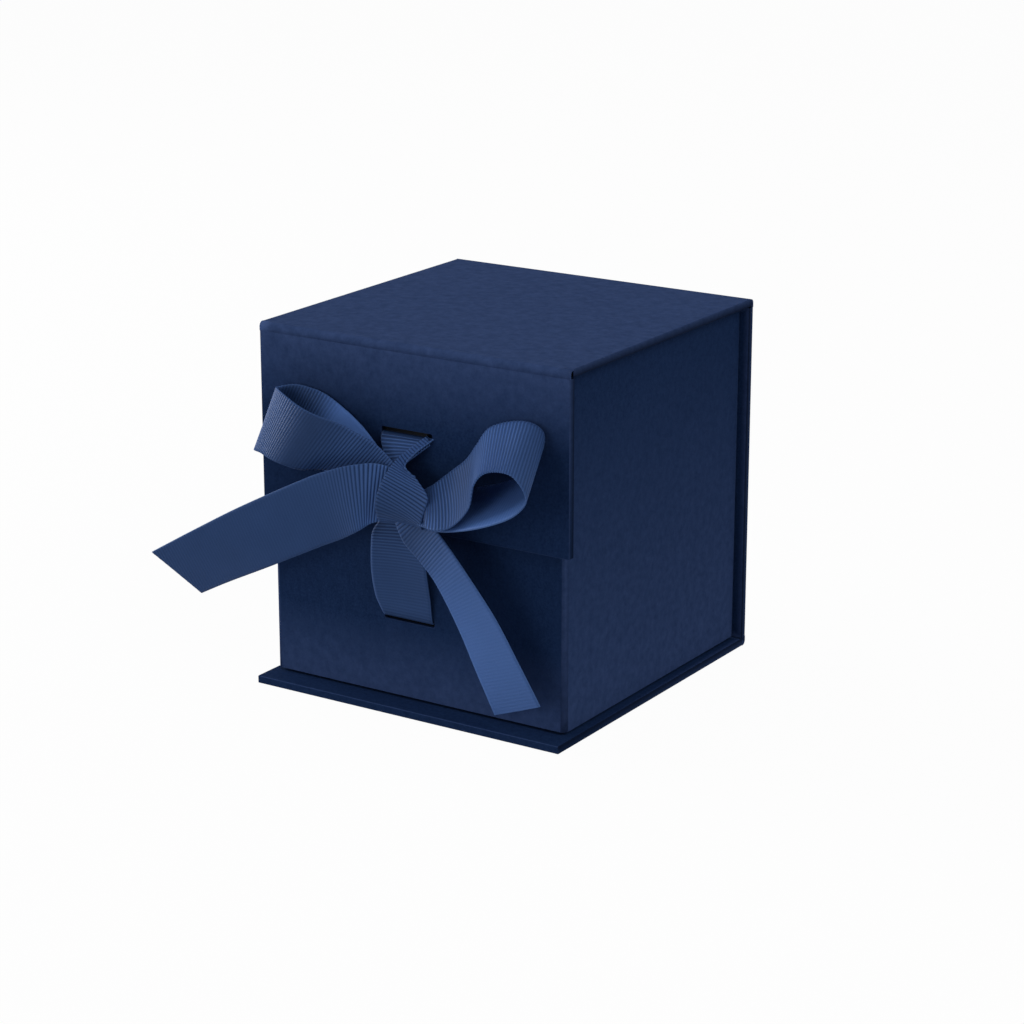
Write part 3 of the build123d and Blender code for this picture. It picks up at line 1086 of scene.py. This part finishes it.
RIGHT_LOOP = (
    Rung((4.0, -60.0, 73.5), (6.0, -62.0, 65.8), 0, 0.1),
    Rung((9.1, -60.5, 72.8), (12.6, -65.4, 65.2), 0, 0.14, 0.1),
    Rung((10.5, -60.0, 73.4), (16.4, -69.8, 65.0), 0.3, 0.15, 0.4),
    Rung((11.9, -59.0, 74.4), (21.6, -72.3, 65.7), 0.6, 0.14, 0.4),
    Rung((15.4, -57.0, 77.7), (27.2, -72.3, 67.9), 1.0, 0.08, 0.15),
    Rung((21.0, -56.0, 82.5), (32.8, -72.6, 74.0), 0.8, 0.05),
    Rung((24.2, -55.2, 87.2), (34.9, -73.2, 81.3), 0.4, 0.09, 0.4),
    Rung((28.6, -55.2, 92.9), (38.3, -73.2, 85.3), 0, 0.14, 0.7),
    Rung((36.1, -55.2, 95.9), (43.8, -73.5, 86.8), 0, 0.14, 0.7),
    Rung((42.8, -55.2, 96.5), (48.6, -73.4, 85.8), 0, 0.06, 0.2),
    Rung((46.8, -55.2, 94.2), (51.7, -72.5, 81.1), 0, 0.04),
    Rung((46.2, -55.0, 89.0), (51.5, -73.0, 77.7), 0, 0.03, 0.3),
    Rung((41.9, -55.0, 82.4), (46.7, -74.0, 73.5), 0, 0.02, 0.9),
    Rung((33.7, -55.2, 77.7), (35.6, -73.7, 68.8), 0, 0.02, 1.0),
    Rung((21.3, -56.0, 73.8), (21.7, -69.8, 64.6), 0, 0.03, 0.5),
    Rung((11.2, -57.5, 70.8), (12.0, -66.0, 63.6)),
    Rung((4.0, -58.0, 70.0), (6.0, -62.0, 63.6)),
)

LEFT_TAIL = (
    Rung((2.0, -60.5, 77.0), (0.0, -61.5, 63.0), 0, 0.1),
    Rung((-5.6, -62.5, 78.8), (-7.3, -63.5, 60.6), 0, 0.14, 0.2),
    Rung((-13.6, -65.5, 77.7), (-10.6, -65.5, 58.2), 0.4, 0.07),
    Rung((-22.2, -68.0, 74.7), (-18.3, -63.6, 53.9), 0.5, 0.02),
    Rung((-30.3, -70.0, 70.8), (-26.1, -63.5, 50.2), 0.4, 0.008),
    Rung((-48.3, -73.0, 61.3), (-44.4, -65.4, 41.1), 0.3, 0.008),
    Rung((-63.8, -75.0, 52.3), (-61.4, -65.0, 32.8), 0.2, 0.01),
    Rung((-80.0, -76.5, 42.6), (-78.7, -65.2, 23.7), 0.1, 0.02),
)

RIGHT_TAIL = (
    Rung((-2.5, -59.5, 64.5), (5.0, -60.5, 70.0)),
    Rung((-0.5, -60.0, 59.5), (9.0, -61.5, 67.0)),
    Rung((1.5, -59.8, 55.5), (12.0, -63.0, 65.7), 0, 0.03, -0.2),
    Rung((4.2, -59.6, 52.8), (15.5, -64.6, 63.7), 0, 0.03, -0.1),
    Rung((7.5, -59.1, 49.6), (19.5, -65.8, 60.9), 0.2, 0.05, 0.1),
    Rung((12.3, -58.2, 43.4), (26.5, -66.8, 54.3), 0.3, 0.02, 0.6),
    Rung((18.9, -56.9, 30.9), (36.2, -64.4, 39.9), 0.4, 0.008, 0.9),
    Rung((24.4, -56.0, 18.5), (43.0, -62.2, 26.5), 0.3, 0.008, 0.9),
    Rung((30.5, -55.5, 6.1), (49.6, -61.0, 14.4), 0.2, 0.012, 0.6),
)

# The first rungs lie inside the tray's slot and are painted as shadow.
LOWER_STRAND = (
    Rung((-11.9, -49.0, 15.0), (5.7, -49.0, 15.0), 0, 0.02, -1.5),
    Rung((-11.9, -49.0, 24.0), (5.7, -49.0, 24.0), 0, 0.02, -1.5),
    Rung((-11.9, -49.5, 28.0), (5.7, -49.5, 28.0), 0, 0.02, -1.5),
    Rung((-11.8, -51.2, 28.4), (5.7, -51.2, 28.4), 0, 0.02, -0.5),
    Rung((-12.9, -51.9, 31.0), (5.7, -51.8, 31.0), 0.2, 0.012, -0.1),
    Rung((-13.7, -53.2, 35.1), (5.8, -52.7, 36.2), 0.5, 0.012, -0.05),
    Rung((-13.3, -55.5, 43.0), (6.0, -54.6, 44.0), 0.7, 0.012, -0.05),
    Rung((-12.2, -57.0, 51.4), (6.2, -56.4, 52.6), 0.5, 0.035, -0.05),
    Rung((-11.0, -57.4, 56.6), (5.2, -57.0, 58.4), 0.2, 0.06, -0.15),
    Rung((-7.0, -57.5, 61.5), (4.0, -57.5, 62.0)),
)

# The first rungs lie inside the flap's slot and are painted as shadow.
UPPER_STRAND = (
    Rung((5.4, -52.3, 99.5), (-10.2, -52.3, 99.5), 0, 0.02, -1.5),
    Rung((5.4, -52.3, 90.0), (-10.2, -52.3, 90.0), 0, 0.02, -1.5),
    Rung((5.4, -52.3, 86.2), (-10.2, -52.3, 86.2), 0, 0.03, -1.5),
    Rung((5.2, -53.3, 85.6), (-10.1, -53.3, 85.6), 0, 0.09, -0.6),
    Rung((4.2, -54.9, 84.4), (-9.5, -54.9, 83.8), -0.2, 0.11, 0.3),
    Rung((2.2, -56.8, 82.0), (-7.0, -57.2, 80.8), -0.2, 0.11, 0.3),
    Rung((0.2, -58.8, 79.6), (-3.6, -59.4, 77.6), 0, 0.11, 0.2),
    Rung((0.0, -60.0, 74.0), (-2.5, -60.0, 73.0), 0, 0.1),
)

KNOT = (
    Rung((5.0, -52.4, 86.2), (7.9, -52.4, 86.2), -0.6, 0.09),
    Rung((4.8, -54.2, 85.8), (7.8, -54.4, 85.6), -1.0, 0.09, 0.2),
    Rung((2.5, -57.8, 83.4), (5.2, -58.4, 82.8), -1.2, 0.09, 0.2),
    Rung((0.6, -60.6, 81.2), (3.4, -61.4, 79.2), -1.2, 0.09),
    Rung((-0.6, -62.6, 79.2), (8.0, -62.4, 76.2), -1.0, 0.09, -0.1),
    Rung((-1.7, -64.2, 76.8), (12.9, -63.8, 72.0), -1.0, 0.09, -0.1),
    Rung((-2.6, -65.4, 74.2), (12.7, -65.0, 68.2), -1.0, 0.08, -0.15),
    Rung((-3.4, -66.4, 71.2), (12.0, -65.6, 64.8), -1.0, 0.06, -0.2),
    Rung((-3.9, -66.6, 68.4), (11.2, -64.6, 62.8), -0.8, 0.04, -0.2),
    Rung((-4.3, -65.8, 65.2), (10.2, -62.6, 61.6), -0.5, 0.03, -0.2),
    Rung((-4.5, -63.2, 62.0), (9.2, -60.2, 61.9), -0.3, 0.05),
    Rung((-3.0, -58.0, 62.5), (7.0, -57.6, 63.5), 0.0, 0.05),
    Rung((-2.0, -56.0, 68.0), (5.0, -56.0, 69.0), 0.0, 0.05),
    Rung((-2.0, -56.0, 74.0), (3.0, -56.0, 75.0), 0.0, 0.05),
)


@dataclass
class Bow:
    """The ribbon's stretches: two strands, two loops, two tails and the knot's wrap."""

    left_tail_cut: tuple[Point, Point] = ((-80.0, -76.5, 42.6), (-70.5, -65.0, 28.0))
    strand_tuck: float = 0.3
    strand_gap: float = -0.9 * MM
    knot_tuck: float = 0.41
    tucked_columns: int = 40

    def build(self, finishes: Finishes) -> list[bpy.types.Object]:
        """Makes every stretch of ribbon.

        Args:
            finishes: The object's materials.

        Returns:
            The pieces.
        """
        stretches = [
            RibbonStretch("ribbon_left_loop", "bow_left_loop", Body.FLAP, LEFT_LOOP),
            RibbonStretch("ribbon_right_loop", "bow_right_loop", Body.FLAP, RIGHT_LOOP),
            RibbonStretch(
                "ribbon_left_tail",
                "bow_left_tail",
                Body.FLAP,
                LEFT_TAIL,
                cut_at=self.left_tail_cut,
            ),
            RibbonStretch("ribbon_right_tail", "bow_right_tail", Body.FLAP, RIGHT_TAIL),
            RibbonStretch("ribbon_lower_strand", "lower_ribbon", Body.BOX, LOWER_STRAND),
            RibbonStretch(
                "ribbon_upper_strand",
                "upper_ribbon",
                Body.FLAP,
                UPPER_STRAND,
                tuck=self.strand_tuck,
                tuck_gap=self.strand_gap,
                columns=self.tucked_columns,
            ),
            RibbonStretch(
                "ribbon_knot",
                "bow_knot",
                Body.FLAP,
                KNOT,
                tuck=self.knot_tuck,
                columns=self.tucked_columns,
            ),
        ]
        return [stretch.build(finishes) for stretch in stretches]


@dataclass
class GiftBox:
    """The case, its folds and the tray."""

    flap_slot: SlotCut = field(default_factory=lambda: SlotCut(-1.4 * MM, 86.5 * MM))
    tray: TrayShell = field(default_factory=TrayShell)

    def build(self, finishes: Finishes) -> list[bpy.types.Object]:
        """Makes the papers and dresses the boards and magnets.

        Args:
            finishes: The object's materials.

        Returns:
            The new pieces.
        """
        up, down = Vector((0, 0, 1)), Vector((0, 0, -1))
        front, back = Vector((0, -1, 0)), Vector((0, 1, 0))
        panels = [
            WrappedPanel("base_cover_paper", "base_wrap", Body.BOX, up, (back,)),
            WrappedPanel("spine_cover_paper", "spine_wrap", Body.BOX, front, (up, down)),
            WrappedPanel("lid_cover_paper", "lid_wrap", Body.LID, down, (front, back)),
            WrappedPanel("flap_cover_paper", "flap_wrap", Body.FLAP, back, (up,), slot=self.flap_slot),
        ]
        liners = [
            LinerSheet("lid_lining_paper", "lid_liner", Body.LID, down),
            LinerSheet("flap_lining_paper", "flap_liner", Body.FLAP, back),
        ]
        folds = [
            PaperFold("spine_base_crease", "base_spine_fold", -1, 1, (Body.BOX,)),
            PaperFold("lid_flap_crease", "lid_flap_fold", 1, -1, (Body.LID, Body.FLAP)),
            PaperFold("spine_lid_crease", "spine_lid_fold", -1, -1, (Body.BOX, Body.LID)),
        ]
        pieces = [part.build(finishes) for part in (*panels, *liners, *folds)]
        pieces += self.tray.build(finishes)
        self._dress_nodes(finishes)
        return pieces

    @staticmethod
    def _dress_nodes(finishes: Finishes) -> None:
        """Gives the frame's own nodes their materials, of which the boards and magnets stay."""
        slots = {part["node"]: part["material_slot"] for part in frame["record"]["subparts"]}
        for name, node in frame["nodes"].items():
            material = finishes.of(Slot(slots[name]))
            node.data.materials.clear()
            node.data.materials.append(material)


@dataclass(frozen=True)
class Lamp:
    """A square soft lamp: where it hangs, how high above the floor it aims, its side and its watts."""

    name: str
    place: Point
    aim_height: float
    size: float
    power: float

    def build(self) -> None:
        """Hangs the lamp."""
        data = bpy.data.lights.new(self.name, "AREA")
        data.shape = "SQUARE"
        data.size = self.size
        data.energy = self.power
        lamp = bpy.data.objects.new(self.name, data)
        bpy.context.scene.collection.objects.link(lamp)
        lamp.location = self.place
        way = Vector((0, 0, self.aim_height)) - Vector(self.place)
        lamp.rotation_euler = way.to_track_quat("-Z", "Y").to_euler()


@dataclass
class Studio:
    """The camera, the lamps, the floor and the white surroundings."""

    azimuth: float = math.radians(32.90)
    elevation: float = math.radians(17.14)
    distance: float = 907.7 * MM
    shift_right: float = 0.435 * MM
    shift_up: float = 46.69 * MM
    focal_pixels: float = 2886.47
    picture_pixels: float = 1024.0
    sensor: float = 36.0
    lamps: tuple[Lamp, ...] = (
        Lamp("key_lamp", (-1.15, -0.14, 0.3), 49.5 * MM, 0.7, 10.5),
        Lamp("side_lamp", (0.95, -0.3, 0.85), 33.0 * MM, 0.8, 3.9),
        Lamp("fill_lamp", (-0.25, -1.0, 0.15), 55.0 * MM, 0.6, 1.7),
        Lamp("top_lamp", (-0.1, 0.15, 1.2), 55.0 * MM, 0.5, 0.4),
    )
    sky_colour: Colour = (0.93, 0.96, 1.0, 1.0)
    sky_strength: float = 0.21
    floor_colour: Colour = (0.6, 0.6, 0.6, 1.0)
    floor_glow: float = 1.02
    floor_whiteness: float = 0.95
    floor_half: float = 3.0
    floor_drop: float = 0.05 * MM

    def build(self) -> None:
        """Makes everything of the studio."""
        self._camera()
        for lamp in self.lamps:
            lamp.build()
        self._world()
        self._floor()

    def _camera(self) -> None:
        """Stands the camera where the photograph was taken from."""
        east, height = math.sin(self.azimuth), math.sin(self.elevation)
        back = Vector((east * math.cos(self.elevation), 0, height))
        back.y = -math.cos(self.azimuth) * math.cos(self.elevation)
        right = Vector((math.cos(self.azimuth), east, 0))
        up = back.cross(right)
        data = bpy.data.cameras.new("camera")
        data.sensor_width = self.sensor
        data.lens = self.focal_pixels * self.sensor / self.picture_pixels
        camera = bpy.data.objects.new("camera", data)
        bpy.context.scene.collection.objects.link(camera)
        camera.matrix_world = Matrix((right, up, back)).transposed().to_4x4()
        camera.location = right * self.shift_right + up * self.shift_up + back * self.distance
        bpy.context.scene.camera = camera

    def _world(self) -> None:
        """Makes the surroundings white to look at and dimmer as a light."""
        world = bpy.data.worlds.new("surroundings")
        bpy.context.scene.world = world
        graph = Graph(world)
        sky = {"Color": self.sky_colour, "Strength": self.sky_strength}
        lit = graph.add("ShaderNodeBackground", inputs=sky)
        seen = graph.add("ShaderNodeBackground", inputs={"Color": WHITE, "Strength": 1.0})
        both = graph.mix_shaders(graph.seen_directly(), lit, seen)
        graph.add("ShaderNodeOutputWorld", inputs={"Surface": both})

    def _floor(self) -> None:
        """Makes a pale floor that shows white and keeps the box's shadow."""
        builder = bmesh.new()
        bmesh.ops.create_grid(builder, x_segments=1, y_segments=1, size=self.floor_half)
        bmesh.ops.translate(builder, vec=(0, 0, -self.floor_drop), verts=builder.verts)
        graph = Graph.of_material("pale_floor")
        matte = graph.add("ShaderNodeBsdfDiffuse", inputs={"Color": self.floor_colour})
        glow = graph.add("ShaderNodeEmission", inputs={"Strength": self.floor_glow})
        both = graph.mix_shaders(graph.seen_directly() * self.floor_whiteness, matte, glow)
        graph.add("ShaderNodeOutputMaterial", inputs={"Surface": both})
        finished_object("floor", builder, graph.owner)


def main() -> None:
    """Builds the studio and the object, and logs how many faces each new piece has."""
    logging.basicConfig(level=logging.INFO, format="%(name)s %(message)s")
    bpy.context.scene.view_settings.view_transform = "Standard"
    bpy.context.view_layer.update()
    Studio().build()
    finishes = Finishes()
    for assembly in (GiftBox(), Bow()):
        for piece in assembly.build(finishes):
            LOG.info("%s has %d faces", piece.name, len(piece.data.polygons))


if __name__ == "__main__":
    main()
